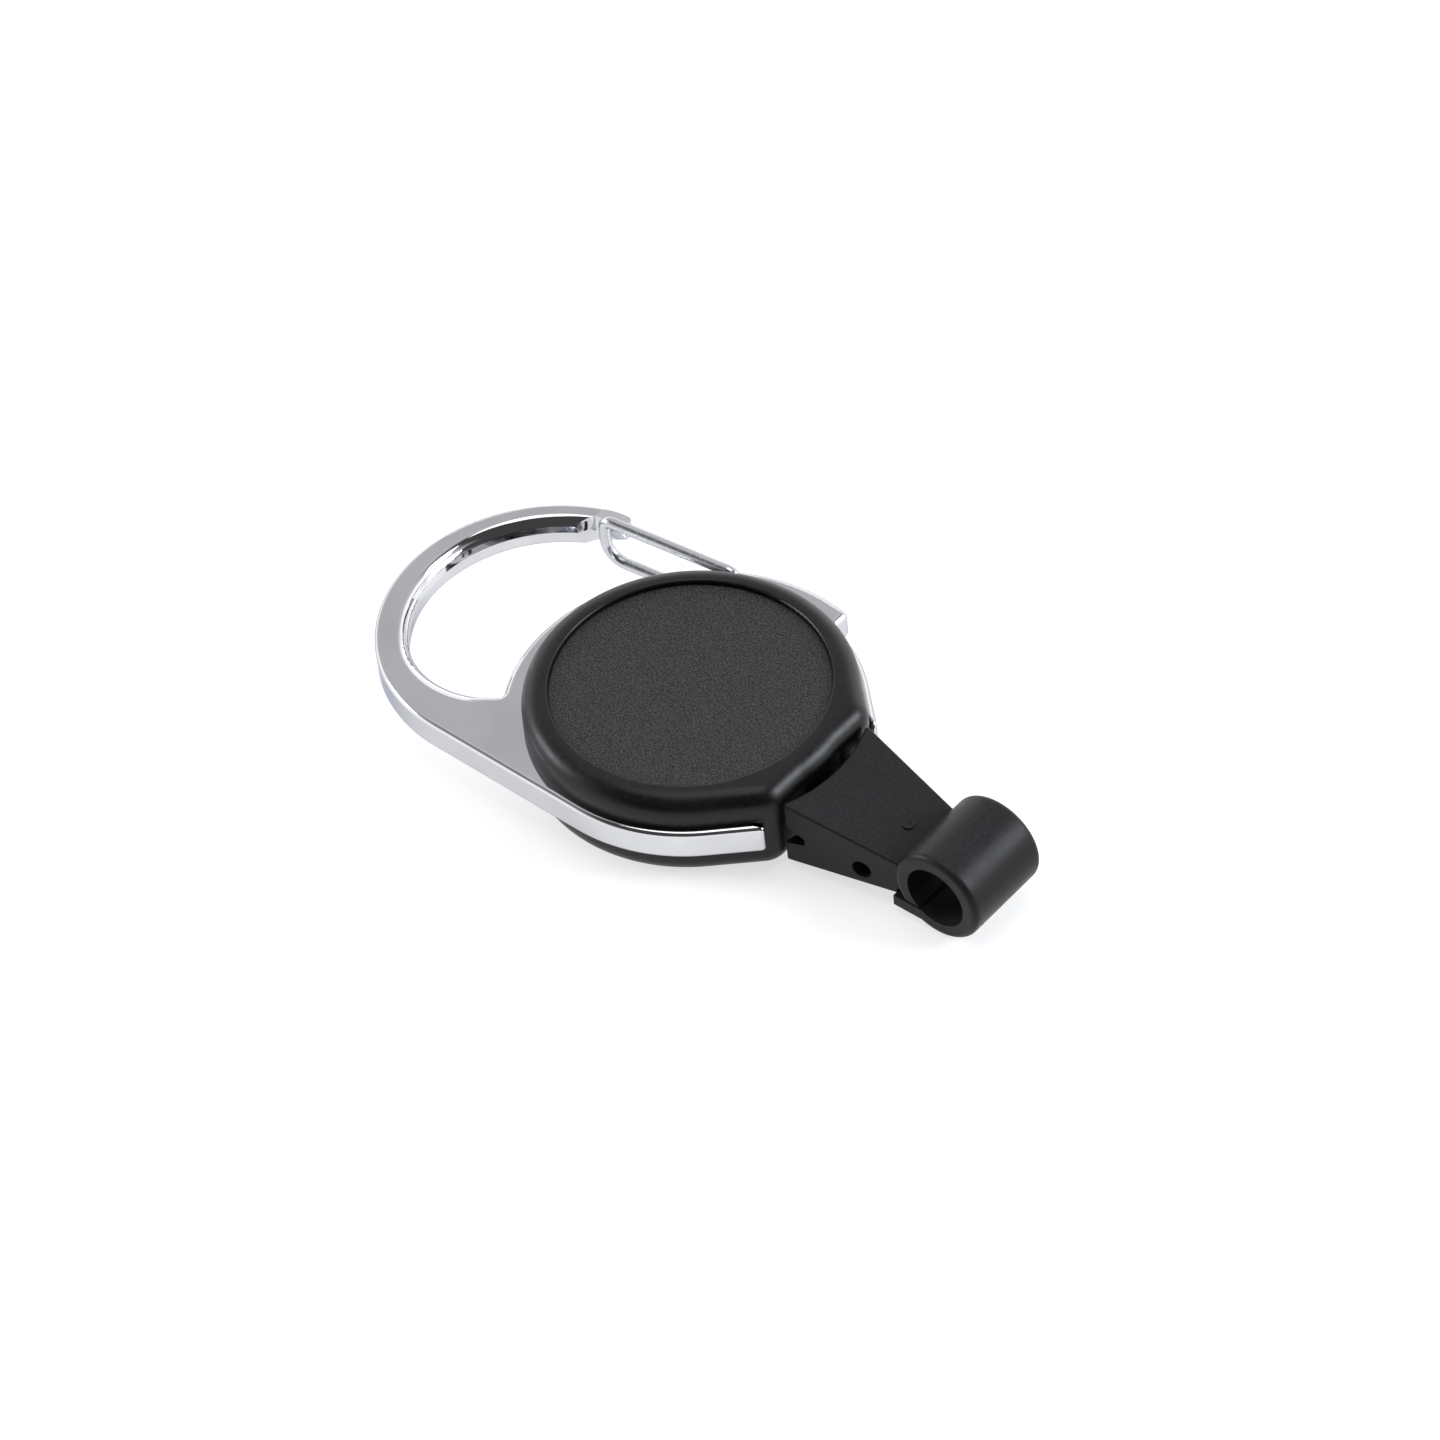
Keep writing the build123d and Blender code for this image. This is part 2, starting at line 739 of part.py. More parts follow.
cord_winding = ring(
    groove_root_radius + seat_clearance,
    winding_radius,
    -groove_half + seat_clearance,
    groove_half,
)
save(cord_winding, "cord_winding")

knot_z = -stack_half - knot_radius - seat_clearance


def knot(centre, radius):
    """Overhand knot, taken as two lobes of cord lying across each other."""
    lobe = radius * knot_lobe_share
    with BuildPart() as piece:
        with Locations(centre):
            Sphere(radius * knot_core_share)
            Torus(lobe, radius - lobe)
            Torus(lobe, radius - lobe, rotation=(90, 0, 0))
    return piece.part


with BuildPart() as anchor_knot:
    add(knot((*knot_hole_place, mid_z + knot_z), knot_radius))
    with BuildSketch(level(knot_z)):
        with Locations(knot_hole_place):
            Circle(cord_radius)
    extrude(amount=-groove_half - knot_z)
save(anchor_knot.part, "anchor_knot")

end_knot_radius = cross_hole_radius - knot_clearance
end_knot_place = (cross_hole_x, 0, mid_z - cross_hole_drop)
save(knot(end_knot_place, end_knot_radius), "end_knot")

jaw_end_x = wedge_start_x + jaw_depth
lead_end_z = mid_z - (cord_channel_drop + cross_hole_drop) / 2 + cord_radius / 4

with BuildPart() as cord_lead:
    with BuildLine() as lead_path:
        with BuildLine(level(0)):
            wrap = CenterArc(
                (0, 0),
                lead_radius,
                exit_tangent_angle + cord_wrap_angle,
                -cord_wrap_angle,
            )
        FilletPolyline(
            wrap @ 1,
            (cord_bend_x, 0, mid_z),
            (eyelet_end_x + cord_radius, 0, mid_z),
            (jaw_end_x + cord_radius, 0, mid_z - cord_channel_drop),
            (cross_hole_x - end_knot_radius, 0, lead_end_z),
            radius=[cord_bend_radius, cord_bend_radius, cord_bend_radius],
        )
    with BuildSketch(Plane(origin=wrap @ 0, z_dir=wrap % 0)):
        Circle(cord_radius)
    sweep(path=lead_path.line)
save(cord_lead.part, "cord_lead")


# ---------------------------------------------------------------- clamp fitting

taper = (wedge_mouth_half_width - wedge_neck_half_width) / (wedge_neck_x - wedge_start_x)
top_slope = (wedge_top_start - wedge_top_neck) / (wedge_neck_x - wedge_start_x)
bottom_slope = (wedge_bottom_start - wedge_bottom_neck) / (wedge_neck_x - wedge_start_x)
wedge_back_x = wedge_start_x - nest_overrun
tube_wall_x = tube_x - (tube_radius + tube_bore_radius) / 2
slit_high = lip_top - slit_height
jaw_top_slope = (jaw_top + jaw_inner_top) / jaw_depth
jaw_bottom_slope = (jaw_bottom - jaw_inner_bottom) / jaw_depth


def wedge_half_width(x):
    """Half width of the wedge in plan."""
    return wedge_mouth_half_width - taper * (x - wedge_start_x)


def wedge_top(x):
    """Height of the wedge's top face above the middle of the case."""
    return wedge_top_start - top_slope * (x - wedge_start_x)


def wedge_bottom(x):
    """Depth of the wedge's bottom face below the middle of the case."""
    return wedge_bottom_start - bottom_slope * (x - wedge_start_x)


with BuildPart() as clamp_tube:
    with BuildSketch(SIDE):
        with Locations((tube_x, 0)):
            Circle(tube_radius)
    extrude(amount=tube_half_length, both=True)
    tube_ends = clamp_tube.edges().filter_by(GeomType.CIRCLE)
    fillet(tube_ends, radius=tube_edge_round)

with BuildPart() as clamp_fitting:
    with BuildSketch(SIDE):
        with BuildLine():
            Polyline(
                (wedge_back_x, wedge_top(wedge_back_x)),
                (tube_wall_x, wedge_top(tube_wall_x)),
                (tube_wall_x, -slit_high),
                (lip_start_x, -slit_high),
                (lip_start_x, -wedge_bottom(lip_start_x)),
                (wedge_back_x, -wedge_bottom(wedge_back_x)),
                close=True,
            )
        make_face()
    extrude(amount=case_radius, both=True)
    with BuildSketch(level(-mid_z)):
        with BuildLine():
            Polyline(
                (wedge_back_x, -wedge_half_width(wedge_back_x)),
                (tube_wall_x, -wedge_half_width(tube_wall_x)),
                (tube_wall_x, wedge_half_width(tube_wall_x)),
                (wedge_back_x, wedge_half_width(wedge_back_x)),
                close=True,
            )
        make_face()
    extrude(amount=case_height, mode=Mode.INTERSECT)
    with BuildSketch(level(-mid_z)):
        Circle(nest_radius)
    extrude(amount=case_height, mode=Mode.SUBTRACT)
    fillet(clamp_fitting.edges(), radius=wedge_edge_round)
    add(clamp_tube.part)
    with BuildSketch(SIDE):
        with BuildLine():
            Polyline(
                (lip_start_x, -lip_top),
                (tube_x, -lip_top),
                (tube_x, -lip_bottom),
                (lip_start_x, -lip_bottom),
                close=True,
            )
        make_face()
    extrude(amount=tube_half_length, both=True)
    with BuildSketch(SIDE):
        with Locations((tube_x, 0)):
            Circle(tube_bore_radius)
        with BuildLine():
            Polyline(
                (lip_start_x, -lip_top),
                (tube_x, -lip_top),
                (tube_x, -slit_high),
                (lip_start_x, -slit_high),
                close=True,
            )
        make_face()
    extrude(amount=2 * tube_half_length, both=True, mode=Mode.SUBTRACT)
    with BuildSketch(SIDE):
        with BuildLine():
            Polyline(
                (wedge_back_x, jaw_top + jaw_top_slope * nest_overrun),
                (jaw_end_x, -jaw_inner_top),
                (jaw_end_x, -jaw_inner_bottom),
                (wedge_back_x, -jaw_bottom - jaw_bottom_slope * nest_overrun),
                close=True,
            )
        make_face()
        with Locations((cross_hole_x, -cross_hole_drop)):
            Circle(cross_hole_radius)
    extrude(amount=case_radius, both=True, mode=Mode.SUBTRACT)
    with BuildSketch(Plane.YZ.offset(jaw_end_x - cord_channel_radius)):
        with Locations((0, mid_z - cord_channel_drop)):
            Circle(cord_channel_radius)
    extrude(amount=cross_hole_x - jaw_end_x + cord_channel_radius, mode=Mode.SUBTRACT)
save(clamp_fitting.part, "clamp_fitting")
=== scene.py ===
import json
import math

import bpy
from mathutils import Matrix, Vector


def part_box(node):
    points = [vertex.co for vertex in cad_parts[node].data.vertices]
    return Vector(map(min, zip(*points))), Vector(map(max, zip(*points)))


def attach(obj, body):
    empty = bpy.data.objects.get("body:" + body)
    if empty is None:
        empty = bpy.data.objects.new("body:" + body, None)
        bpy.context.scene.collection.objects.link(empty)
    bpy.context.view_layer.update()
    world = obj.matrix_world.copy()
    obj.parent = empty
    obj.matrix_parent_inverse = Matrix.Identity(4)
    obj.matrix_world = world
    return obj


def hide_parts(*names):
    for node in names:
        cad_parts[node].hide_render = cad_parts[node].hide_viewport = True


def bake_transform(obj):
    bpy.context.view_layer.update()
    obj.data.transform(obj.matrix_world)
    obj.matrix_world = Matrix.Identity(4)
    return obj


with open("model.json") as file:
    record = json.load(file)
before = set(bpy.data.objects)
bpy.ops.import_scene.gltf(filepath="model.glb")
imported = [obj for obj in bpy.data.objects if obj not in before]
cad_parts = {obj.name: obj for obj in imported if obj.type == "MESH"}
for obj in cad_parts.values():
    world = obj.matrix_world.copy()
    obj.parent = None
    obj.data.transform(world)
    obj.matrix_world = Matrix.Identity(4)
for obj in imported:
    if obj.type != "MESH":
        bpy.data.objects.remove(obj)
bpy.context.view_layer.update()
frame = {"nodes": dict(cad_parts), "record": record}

MM = 0.001
scene = bpy.context.scene
nodes = frame["nodes"]
case_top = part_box("front_cover")[1].z
mid_z = case_top / 2

# The front cover's round recess.
RECESS_RADIUS = 15.0 * MM
RECESS_DEPTH = 0.6 * MM

# The hook's opening is an arc about the loop's centre. From the heel's direction on, it is
# a tighter arc about the heel's centre.
LOOP_CENTRE = Vector((-20.1 * MM, 0.8 * MM))
LOOP_RADIUS = 15.4 * MM
HEEL_RADIUS = 10.0 * MM
HEEL_ANGLE = math.radians(226.5)
HEEL_DIRECTION = Vector((math.cos(HEEL_ANGLE), math.sin(HEEL_ANGLE)))
HEEL_CENTRE = LOOP_CENTRE + (LOOP_RADIUS - HEEL_RADIUS) * HEEL_DIRECTION


# ---------------------------------------------------------------- camera

AZIMUTH = math.radians(42.87)
ELEVATION = math.radians(45.57)
ROLL = math.radians(-5.06)
DISTANCE = 0.700
PAN_RIGHT = 0.00243
PAN_UP = 0.00417
PIVOT_BELOW_MIDDLE = 6.44 * MM
LENS_MM = 165.03
SENSOR_MM = 36.0

level_right = Vector((math.cos(AZIMUTH), math.sin(AZIMUTH), 0))
back = Vector((
    math.sin(AZIMUTH) * math.cos(ELEVATION),
    -math.cos(AZIMUTH) * math.cos(ELEVATION),
    math.sin(ELEVATION),
))
level_up = back.cross(level_right)
right = math.cos(ROLL) * level_right + math.sin(ROLL) * level_up
up = math.cos(ROLL) * level_up - math.sin(ROLL) * level_right

camera_data = bpy.data.cameras.new("camera")
camera_data.lens = LENS_MM
camera_data.sensor_width = SENSOR_MM
camera_data.clip_start = 0.01
camera_data.clip_end = 20.0
camera = bpy.data.objects.new("camera", camera_data)
scene.collection.objects.link(camera)
pivot = Vector((0, 0, mid_z - PIVOT_BELOW_MIDDLE))
place = PAN_RIGHT * right + PAN_UP * up + DISTANCE * back + pivot
camera.matrix_world = Matrix((
    (right.x, up.x, back.x, place.x),
    (right.y, up.y, back.y, place.y),
    (right.z, up.z, back.z, place.z),
    (0, 0, 0, 1),
))
scene.camera = camera
scene.view_settings.view_transform = "Standard"
scene.view_settings.look = "None"


# ---------------------------------------------------------------- node kit

class Nodes:
    """Short calls for filling a node tree. A value is a number, a colour or a node's output."""

    def __init__(self, tree):
        self.tree = tree
        self.tree.nodes.clear()

    def new(self, kind):
        return self.tree.nodes.new(kind)

    def link(self, source, target):
        self.tree.links.new(source, target)

    def feed(self, socket, value):
        if isinstance(value, (int, float)):
            socket.default_value = value
        elif isinstance(value, (tuple, list)):
            opaque = len(value) == 3 and socket.type == "RGBA"
            socket.default_value = (*value, 1.0) if opaque else value
        else:
            self.link(value, socket)

    def math(self, operation, first, second=0.0, third=0.0):
        node = self.new("ShaderNodeMath")
        node.operation = operation
        for socket, value in zip(node.inputs, (first, second, third)):
            self.feed(socket, value)
        return node.outputs[0]

    def weighted(self, first, first_weight, second, second_weight):
        return self.math("ADD", self.math("MULTIPLY", first, first_weight),
                         self.math("MULTIPLY", second, second_weight))

    def span(self, value, low, high, start=0.0, end=1.0):
        """Runs smoothly from start to end as the value goes from low to high."""
        node = self.new("ShaderNodeMapRange")
        node.interpolation_type = "SMOOTHSTEP"
        self.feed(node.inputs["Value"], value)
        self.feed(node.inputs["From Min"], low)
        self.feed(node.inputs["From Max"], high)
        self.feed(node.inputs["To Min"], start)
        self.feed(node.inputs["To Max"], end)
        return node.outputs["Result"]

    def mix(self, factor, first, second):
        node = self.new("ShaderNodeMix")
        node.data_type = "RGBA"
        self.feed(node.inputs[0], factor)
        self.feed(node.inputs[6], first)
        self.feed(node.inputs[7], second)
        return node.outputs[2]


class Graph(Nodes):
    """One material's nodes, in the part's own coordinates."""

    SOCKETS = {
        "color": "Base Color", "metal": "Metallic", "rough": "Roughness", "normal": "Normal",
        "specular": "Specular IOR Level", "edge": "Specular Tint", "sheen": "Sheen Weight",
        "sheen_rough": "Sheen Roughness", "subsurface": "Subsurface Weight",
        "glow_color": "Emission Color", "glow": "Emission Strength",
    }

    def __init__(self, name):
        self.material = bpy.data.materials.new(name)
        self.material.use_nodes = True
        super().__init__(self.material.node_tree)
        output = self.new("ShaderNodeOutputMaterial")
        self.shader = self.new("ShaderNodeBsdfPrincipled")
        self.link(self.shader.outputs["BSDF"], output.inputs["Surface"])
        coordinates = self.new("ShaderNodeTexCoord")
        self.place = coordinates.outputs["Object"]
        self.facing = coordinates.outputs["Normal"]

    def noise(self, scale, detail=2.0, roughness=0.5, stretch=(1, 1, 1)):
        mapping = self.new("ShaderNodeMapping")
        self.feed(mapping.inputs["Scale"], stretch)
        self.link(self.place, mapping.inputs["Vector"])
        node = self.new("ShaderNodeTexNoise")
        self.feed(node.inputs["Scale"], scale)
        self.feed(node.inputs["Detail"], detail)
        self.feed(node.inputs["Roughness"], roughness)
        self.link(mapping.outputs["Vector"], node.inputs["Vector"])
        return node.outputs["Fac"]

    def axes(self, vector=None):
        """The x, y and z of a vector, or of the place."""
        node = self.new("ShaderNodeSeparateXYZ")
        self.link(self.place if vector is None else vector, node.inputs[0])
        return node.outputs

    def distance(self, x, y, centre=(0, 0)):
        """Distance in plan from an upright axis through the centre."""
        across = self.math("SUBTRACT", x, centre[0])
        along = self.math("SUBTRACT", y, centre[1])
        return self.math("SQRT", self.weighted(across, across, along, along))

    def bump(self, height, strength, distance, under=None):
        node = self.new("ShaderNodeBump")
        self.feed(node.inputs["Strength"], strength)
        self.feed(node.inputs["Distance"], distance)
        self.link(height, node.inputs["Height"])
        if under is not None:
            self.link(under, node.inputs["Normal"])
        return node.outputs["Normal"]

    def set(self, **values):
        for key, value in values.items():
            self.feed(self.shader.inputs[self.SOCKETS[key]], value)
        return self.material


# ---------------------------------------------------------------- materials

# Waves across fine repeated marks, in radians per metre.
TOOL_MARK_WAVES = 60000
YARN_WAVES = 9000


def moulding(name, dark, light, rough_low, rough_high):
    """Black moulded plastic: a fine spark-eroded texture with faint flow marks on level faces,
    and painted shade on faces that turn away from level, which take a darker copy of the colour."""
    g = Graph(name)
    fine = g.noise(5200, 3.0, 0.6)
    specks = g.noise(2600, 1.0, 0.5)
    flow = g.noise(90, 3.0, 0.55, stretch=(1, 1, 2.5))
    textured = g.mix(g.span(g.weighted(specks, 0.65, flow, 0.35), 0.36, 0.64), dark, light)
    # Painted shade: upright faces take a darker copy of the colour, which blends back to the full colour as
    # faces turn level.
    painted_side_shade = tuple(0.35 * channel for channel in dark)
    side_shade_mask = g.span(g.math("ABSOLUTE", g.axes(g.facing)[2]), 0.25, 0.97)
    colour = g.mix(side_shade_mask, painted_side_shade, textured)
    rough = g.span(g.weighted(flow, 0.7, specks, 0.3), 0.35, 0.65, rough_low, rough_high)
    height = g.weighted(fine, 0.5, specks, 0.5)
    return g, colour, rough, height


def covers_material():
    """The case's moulding, with a rougher, grainier floor in the front cover's recess."""
    g, colour, rough, height = moulding(
        "black_moulding", (0.0050, 0.0047, 0.0055), (0.0090, 0.0086, 0.0100), 0.30, 0.40)
    x, y, z = g.axes()
    recess_floor = case_top - RECESS_DEPTH
    inside = g.span(g.distance(x, y), RECESS_RADIUS, RECESS_RADIUS - 0.2 * MM)
    below_rim = g.span(z, recess_floor + 0.08 * MM, recess_floor + 0.02 * MM)
    above_wall = g.span(z, recess_floor - 1.0 * MM, recess_floor - 0.8 * MM)
    disc = g.math("MULTIPLY", inside, g.math("MULTIPLY", below_rim, above_wall))
    grain = g.noise(5600, 2.0, 0.6)
    disc_colour = g.mix(g.span(grain, 0.40, 0.62), (0.0040, 0.0039, 0.0042), (0.0600, 0.0585, 0.0615))
    disc_height = g.math("MULTIPLY", g.math("MULTIPLY", grain, disc), 2.5)
    return g.set(
        color=g.mix(disc, colour, disc_colour),
        rough=g.math("ADD", rough, g.math("MULTIPLY", disc, 0.16)),
        normal=g.bump(g.math("ADD", height, disc_height), 0.45, 0.04 * MM),
        specular=0.30)


def fitting_material():
    g, colour, rough, height = moulding(
        "fitting_moulding", (0.0165, 0.0156, 0.0172), (0.0225, 0.0213, 0.0235), 0.36, 0.46)
    return g.set(color=colour, rough=rough, normal=g.bump(height, 0.35, 0.03 * MM), specular=0.19)


def loop_draft(g):
    """Height that leans the inner wall of the hook's opening back above its parting line and
    rounds its top edge. The lean fades out before the gate and before the plate's web."""
    x, y, z = g.axes()
    from_loop = g.math("SUBTRACT", g.distance(x, y, LOOP_CENTRE), LOOP_RADIUS)
    from_heel = g.math("SUBTRACT", g.distance(x, y, HEEL_CENTRE), HEEL_RADIUS)
    past_heel_direction = g.math(
        "SUBTRACT",
        g.math("MULTIPLY", g.math("SUBTRACT", y, LOOP_CENTRE.y), HEEL_DIRECTION.x),
        g.math("MULTIPLY", g.math("SUBTRACT", x, LOOP_CENTRE.x), HEEL_DIRECTION.y))
    at_heel = g.math("GREATER_THAN", past_heel_direction, 0.0)
    from_wall = g.weighted(from_heel, at_heel, from_loop, g.math("SUBTRACT", 1.0, at_heel))
    near_wall = g.span(from_wall, 0.0, 1.3 * MM, 1.0, 0.0)
    before_web = g.span(g.math("ADD", x, g.math("MULTIPLY", y, 0.9)), -34.5 * MM, -29.0 * MM, 1.0, 0.0)
    before_gate = g.span(x, -24.5 * MM, -22.5 * MM, 1.0, 0.0)
    reach = g.math("MULTIPLY", near_wall, g.math("MAXIMUM", before_web, before_gate))
    rise = g.math("MAXIMUM", g.math("SUBTRACT", z, mid_z + 0.1 * MM), 0.0)
    lean = g.math("MULTIPLY", g.math("MINIMUM", rise, 1.4 * MM), -0.40)
    return g.math("MULTIPLY", reach, lean)


def chrome_material(name, tint, rough_low, rough_high, wave, inner_draft=False):
    """Plated metal with a slight wave, and a fine haze in its shine."""
    g = Graph(name)
    broad = g.noise(120, 2.0, 0.5)
    fine = g.noise(1500, 3.0, 0.6)
    darker = tuple(0.93 * channel for channel in tint)
    under = g.bump(broad, 0.5, wave)
    if inner_draft:
        under = g.bump(loop_draft(g), 1.0, 1.0, under)
    return g.set(
        color=g.mix(g.span(broad, 0.35, 0.65), tint, darker),
        rough=g.span(fine, 0.35, 0.7, rough_low, rough_high),
        normal=g.bump(fine, 0.12, 0.002 * MM, under),
        metal=1.0, edge=(0.50, 0.51, 0.56))


def turned_metal(name, dark, light, rough_low, rough_high):
    """Turned metal with fine rings of tool marks about the spool axis."""
    g = Graph(name)
    x, y, z = g.axes()
    marks = g.math("SINE", g.math("MULTIPLY", g.math("ADD", g.distance(x, y), z), TOOL_MARK_WAVES))
    stain = g.noise(350, 3.0, 0.6)
    streaks = g.math("ADD", g.math("MULTIPLY", marks, 0.12), stain)
    return g.set(
        color=g.mix(g.span(stain, 0.35, 0.7), dark, light),
        rough=g.span(streaks, 0.3, 0.75, rough_low, rough_high),
        normal=g.bump(g.math("ADD", marks, stain), 0.15, 0.004 * MM),
        metal=1.0)


def natural_plastic(name, dark, light):
    """Undyed plastic with faint flow marks and a fine grain."""
    g = Graph(name)
    flow = g.noise(160, 3.0, 0.6, stretch=(1, 1, 3))
    grain = g.noise(2800, 2.0, 0.6)
    return g.set(
        color=g.mix(g.span(flow, 0.35, 0.65), dark, light),
        rough=g.span(grain, 0.3, 0.7, 0.34, 0.5),
        normal=g.bump(grain, 0.25, 0.02 * MM),
        subsurface=0.05)


def cord_material():
    """Braided black cord: two sets of slanting yarns crossing round the cord."""
    g = Graph("cord_nylon")
    x, y, z = g.axes()
    across = g.math("ADD", y, z)
    yarns = [
        g.math("SINE", g.math("MULTIPLY", g.math(slant, x, across), YARN_WAVES))
        for slant in ("ADD", "SUBTRACT")
    ]
    braid = g.math("MAXIMUM", *yarns)
    fibre = g.noise(9000, 2.0, 0.6)
    tone = g.math("ADD", g.math("MULTIPLY", braid, 0.3), fibre)
    height = g.math("ADD", braid, g.math("MULTIPLY", fibre, 0.4))
    return g.set(
        color=g.mix(g.span(tone, 0.3, 0.9), (0.010, 0.010, 0.011), (0.045, 0.044, 0.046)),
        rough=g.span(fibre, 0.3, 0.7, 0.55, 0.75),
        normal=g.bump(height, 0.6, 0.05 * MM),
        sheen=0.25, sheen_rough=0.4)


def floor_material():
    """White paper with a glow of its own, so that it stays white between the lights."""
    g = Graph("floor_paper")
    fibres = g.noise(60, 3.0, 0.6)
    return g.set(
        color=g.mix(fibres, (0.53, 0.53, 0.53), (0.57, 0.57, 0.57)),
        rough=0.9, glow_color=(1, 1, 1), glow=0.66)


SLOTS = {
    "black_moulding": covers_material(),
    "fitting_moulding": fitting_material(),
    "chrome": chrome_material("chrome", (0.670, 0.672, 0.690), 0.02, 0.06, 0.03 * MM, inner_draft=True),
    "gate_wire": chrome_material("gate_wire", (0.64, 0.65, 0.68), 0.20, 0.28, 0.01 * MM),
    "brass": turned_metal("brass", (0.62, 0.43, 0.17), (0.78, 0.60, 0.30), 0.18, 0.32),
    "steel": turned_metal("steel", (0.48, 0.48, 0.48), (0.62, 0.62, 0.63), 0.2, 0.36),
    "spring_steel": turned_metal("spring_steel", (0.22, 0.25, 0.31), (0.40, 0.42, 0.46), 0.22, 0.38),
    "washer_plastic": natural_plastic("washer_plastic", (0.66, 0.65, 0.58), (0.76, 0.75, 0.70)),
    "spool_plastic": natural_plastic("spool_plastic", (0.60, 0.61, 0.60), (0.72, 0.73, 0.72)),
    "cord_nylon": cord_material(),
}
for subpart in frame["record"]["subparts"]:
    target = nodes[subpart["node"]]
    target.data.materials.clear()
    target.data.materials.append(SLOTS[subpart["material_slot"]])


# ---------------------------------------------------------------- pieces

def new_piece(name, corners, faces, slot_name):
    mesh = bpy.data.meshes.new(name)
    mesh.from_pydata([tuple(c) for c in corners], [], faces)
    mesh.polygons.foreach_set("use_smooth", [True] * len(mesh.polygons))
    mesh.update()
    piece = bpy.data.objects.new(name, mesh)
    scene.collection.objects.link(piece)
    mesh.materials.append(SLOTS[slot_name])
    return piece


def tube(route, radius, sides):
    """Corners and faces of a round bar along the route's points, with a low cone on each end."""
    corners = []
    side_step = 2 * math.pi / sides
    previous = Vector((0, 0, 1))
    steps = len(route)
    for index, point in enumerate(route):
        ahead = route[min(index + 1, steps - 1)] - route[max(index - 1, 0)]
        ahead.normalize()
        first = (previous - previous.dot(ahead) * ahead).normalized()
        second = ahead.cross(first)
        previous = first
        for side in range(sides):
            turn = side * side_step
            corners.append(point + radius * (math.cos(turn) * first + math.sin(turn) * second))
    faces = []
    for index in range(steps - 1):
        for side in range(sides):
            a = index * sides + side
            b = index * sides + (side + 1) % sides
            faces.append((a, b, b + sides, a + sides))
    for end, inner in ((0, 1), (steps - 1, steps - 2)):
        outward = (route[end] - route[inner]).normalized()
        corners.append(route[end] + 0.5 * radius * outward)
        tip = len(corners) - 1
        for side in range(sides):
            a = end * sides + side
            b = end * sides + (side + 1) % sides
            faces.append((b, a, tip) if end == 0 else (a, b, tip))
    return corners, faces


def level_arc(centre, radius, start, end, steps, z):
    """Points on a level arc between two angles in degrees."""
    points = []
    for step in range(steps + 1):
        turn = math.radians(start + (end - start) * step / steps)
        points.append(Vector((centre[0] + radius * math.cos(turn), centre[1] + radius * math.sin(turn), z)))
    return points


def rounded_route(points, bend, spacing, bend_steps=8):
    """The straight route through the points, with rounded corners and closely spaced points."""
    legs = [points[0]]
    for before, corner, after in zip(points, points[1:], points[2:]):
        towards = before - corner
        away = after - corner
        trim = min(bend / math.tan(towards.angle(away) / 2), 0.45 * min(towards.length, away.length))
        enter = corner + trim * towards.normalized()
        leave = corner + trim * away.normalized()
        for step in range(bend_steps + 1):
            t = step / bend_steps
            legs.append((1 - t) ** 2 * enter + 2 * t * (1 - t) * corner + t ** 2 * leave)
    legs.append(points[-1])
    route = [legs[0]]
    for start, end in zip(legs, legs[1:]):
        count = max(1, round((end - start).length / spacing))
        for step in range(1, count + 1):
            point = start.lerp(end, step / count)
            if (point - route[-1]).length > 0.2 * spacing:
                route.append(point)
    return route


# The cord leaves the winding, turns along the eyelet, crosses the gap and runs into
# the clamp. Its rings are close together past the winding, where it is drawn out.
CORD_RADIUS = 0.4 * MM
CORD_SIDES = 14
CORD_BEND = 2.4 * MM
RING_SPACING = 0.05 * MM
WINDING_RADIUS = 12.3 * MM

wrap = level_arc((0, 0), WINDING_RADIUS, 73.8, 33.8, 24, mid_z)
lead = [
    wrap[-1], Vector((14.8 * MM, 0, mid_z)), Vector((18.45 * MM, 0, mid_z)),
    Vector((20.75 * MM, 0, mid_z - 1.2 * MM)), Vector((26.0 * MM, 0, mid_z - 1.375 * MM)),
]
route = wrap[:-1] + rounded_route(lead, CORD_BEND, RING_SPACING)
cord = new_piece("cord_line", *tube(route, CORD_RADIUS, CORD_SIDES), "cord_nylon")
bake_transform(cord)
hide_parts("cord_lead")

# A small raised part of a ring, left by the mould on top of the clamp's wedge. It is laid on
# the surface from above.
MARK_PLACE = (28.9 * MM, -0.05 * MM)
MARK_RADIUS = 0.55 * MM
MARK_BEAD = 0.17 * MM
MARK_SIDES = 10
ABOVE_PART = 50 * MM
DOWN = Vector((0, 0, -1))

ring = []
for spot in level_arc(MARK_PLACE, MARK_RADIUS, -120, 80, 24, ABOVE_PART):
    hit, where, facing, face = nodes["clamp_fitting"].ray_cast(spot, DOWN)
    ring.append(where + 0.2 * MARK_BEAD * facing)
mark = new_piece("mould_mark", *tube(ring, MARK_BEAD, MARK_SIDES), "fitting_moulding")
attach(mark, "fitting")


# ---------------------------------------------------------------- floor

FLOOR_REACH = 6.0
FLOOR_DROP = 0.05 * MM

floor_mesh = bpy.data.meshes.new("floor")
floor_mesh.from_pydata(
    [(FLOOR_REACH * x, FLOOR_REACH * y, 0) for x, y in ((-1, -1), (1, -1), (1, 1), (-1, 1))],
    [], [(0, 1, 2, 3)])
floor_mesh.materials.append(floor_material())
floor = bpy.data.objects.new("floor", floor_mesh)
floor.location.z = -FLOOR_DROP
scene.collection.objects.link(floor)


# ---------------------------------------------------------------- light

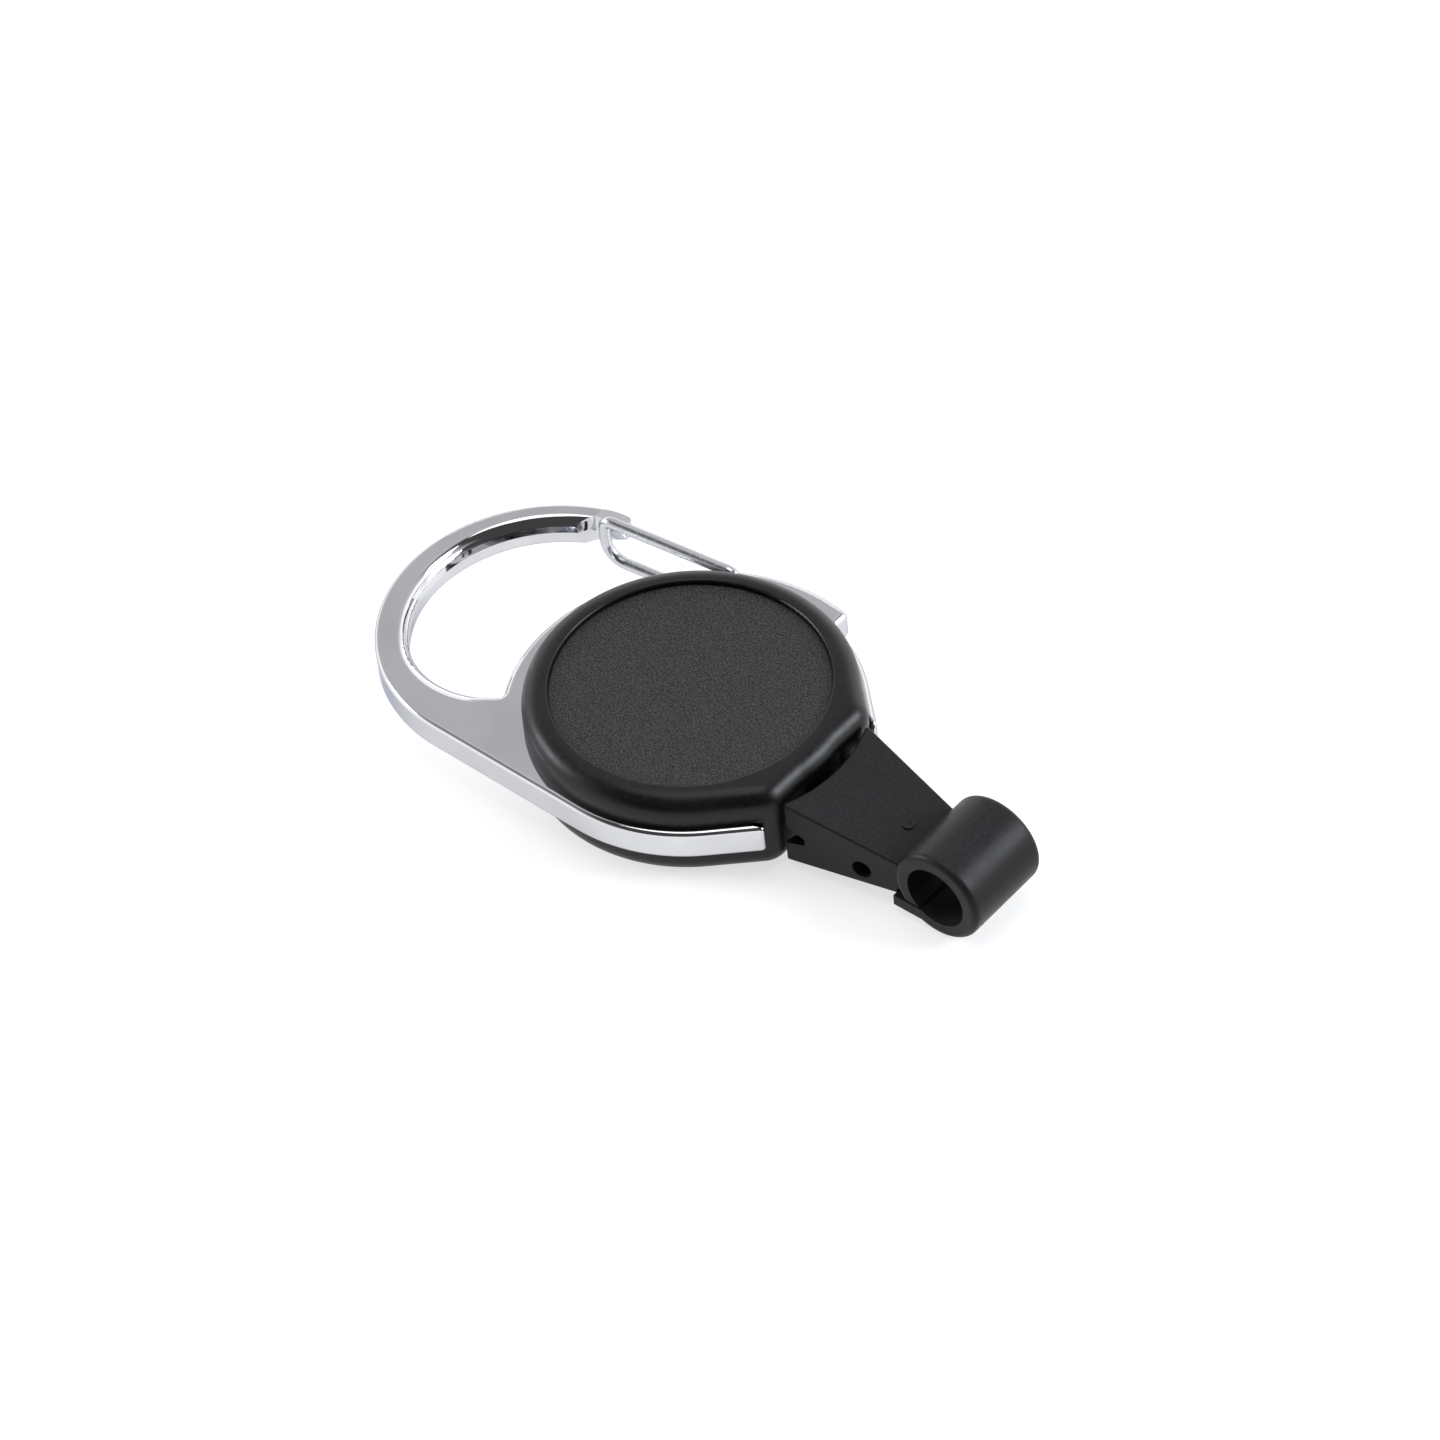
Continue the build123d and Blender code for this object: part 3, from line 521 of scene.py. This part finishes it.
# Shades of the surroundings from straight down, at 0, to straight up, at 1: bright about the
# horizon, dimmer high on the walls and bright again overhead.
SURROUNDINGS = (
    (0.0, (1.0, 1.0, 1.0)),
    (0.48, (1.7, 1.7, 1.7)),
    (0.64, (1.6, 1.6, 1.6)),
    (0.76, (0.78, 0.78, 0.79)),
    (0.88, (0.68, 0.68, 0.70)),
    (1.0, (1.40, 1.40, 1.40)),
)
ROOM_SHADE = (0.085, 0.080, 0.080)
ROOM_STARTS = 0.20
ROOM_IS_FULL = 0.70
SURROUNDINGS_STRENGTH = 0.9
COOL = (0.90, 0.95, 1.0)
WHITE = (1, 1, 1)


def pointing_along(sky, direction, axis):
    """How far a direction points along the axis, from -1 to 1."""
    node = sky.new("ShaderNodeVectorMath")
    node.operation = "DOT_PRODUCT"
    sky.link(direction, node.inputs[0])
    sky.feed(node.inputs[1], tuple(axis))
    return node.outputs["Value"]


def ramp(sky, value, stops):
    """The stops' shades, eased into each other."""
    node = sky.new("ShaderNodeValToRGB")
    node.color_ramp.interpolation = "EASE"
    while len(node.color_ramp.elements) < len(stops):
        node.color_ramp.elements.new(0.5)
    for element, (position, shade) in zip(node.color_ramp.elements, stops):
        element.position = position
        element.color = (*shade, 1)
    sky.feed(node.inputs["Fac"], sky.math("MULTIPLY_ADD", value, 0.5, 0.5))
    return node.outputs["Color"]


def studio_world():
    """Soft surroundings, with a dark room about the direction that the camera looks from."""
    world = bpy.data.worlds.new("studio")
    world.use_nodes = True
    sky = Nodes(world.node_tree)
    direction = sky.new("ShaderNodeTexCoord").outputs["Generated"]
    shades = ramp(sky, pointing_along(sky, direction, (0, 0, 1)), SURROUNDINGS)
    room = sky.span(pointing_along(sky, direction, back), ROOM_STARTS, ROOM_IS_FULL)
    background = sky.new("ShaderNodeBackground")
    sky.feed(background.inputs["Color"], sky.mix(room, shades, ROOM_SHADE))
    sky.feed(background.inputs["Strength"], SURROUNDINGS_STRENGTH)
    output = sky.new("ShaderNodeOutputWorld")
    sky.link(background.outputs["Background"], output.inputs["Surface"])
    return world


def area_light(name, place, width, height, power, colour):
    """A soft box that points at the origin."""
    data = bpy.data.lights.new(name, "AREA")
    data.shape = "RECTANGLE"
    data.size = width
    data.size_y = height
    data.energy = power
    data.color = colour
    lamp = bpy.data.objects.new(name, data)
    scene.collection.objects.link(lamp)
    lamp.location = place
    aim = Vector((0, 0, 0)) - Vector(place)
    lamp.rotation_euler = aim.to_track_quat("-Z", "Y").to_euler()


scene.world = studio_world()
area_light("overhead", (0, 0, 0.85), 0.50, 0.50, 1.6, WHITE)
area_light("left", (-0.66, -0.37, 0.26), 0.30, 0.26, 2.2, COOL)
area_light("right", (0.57, 0.41, 0.40), 0.34, 0.34, 4.2, COOL)
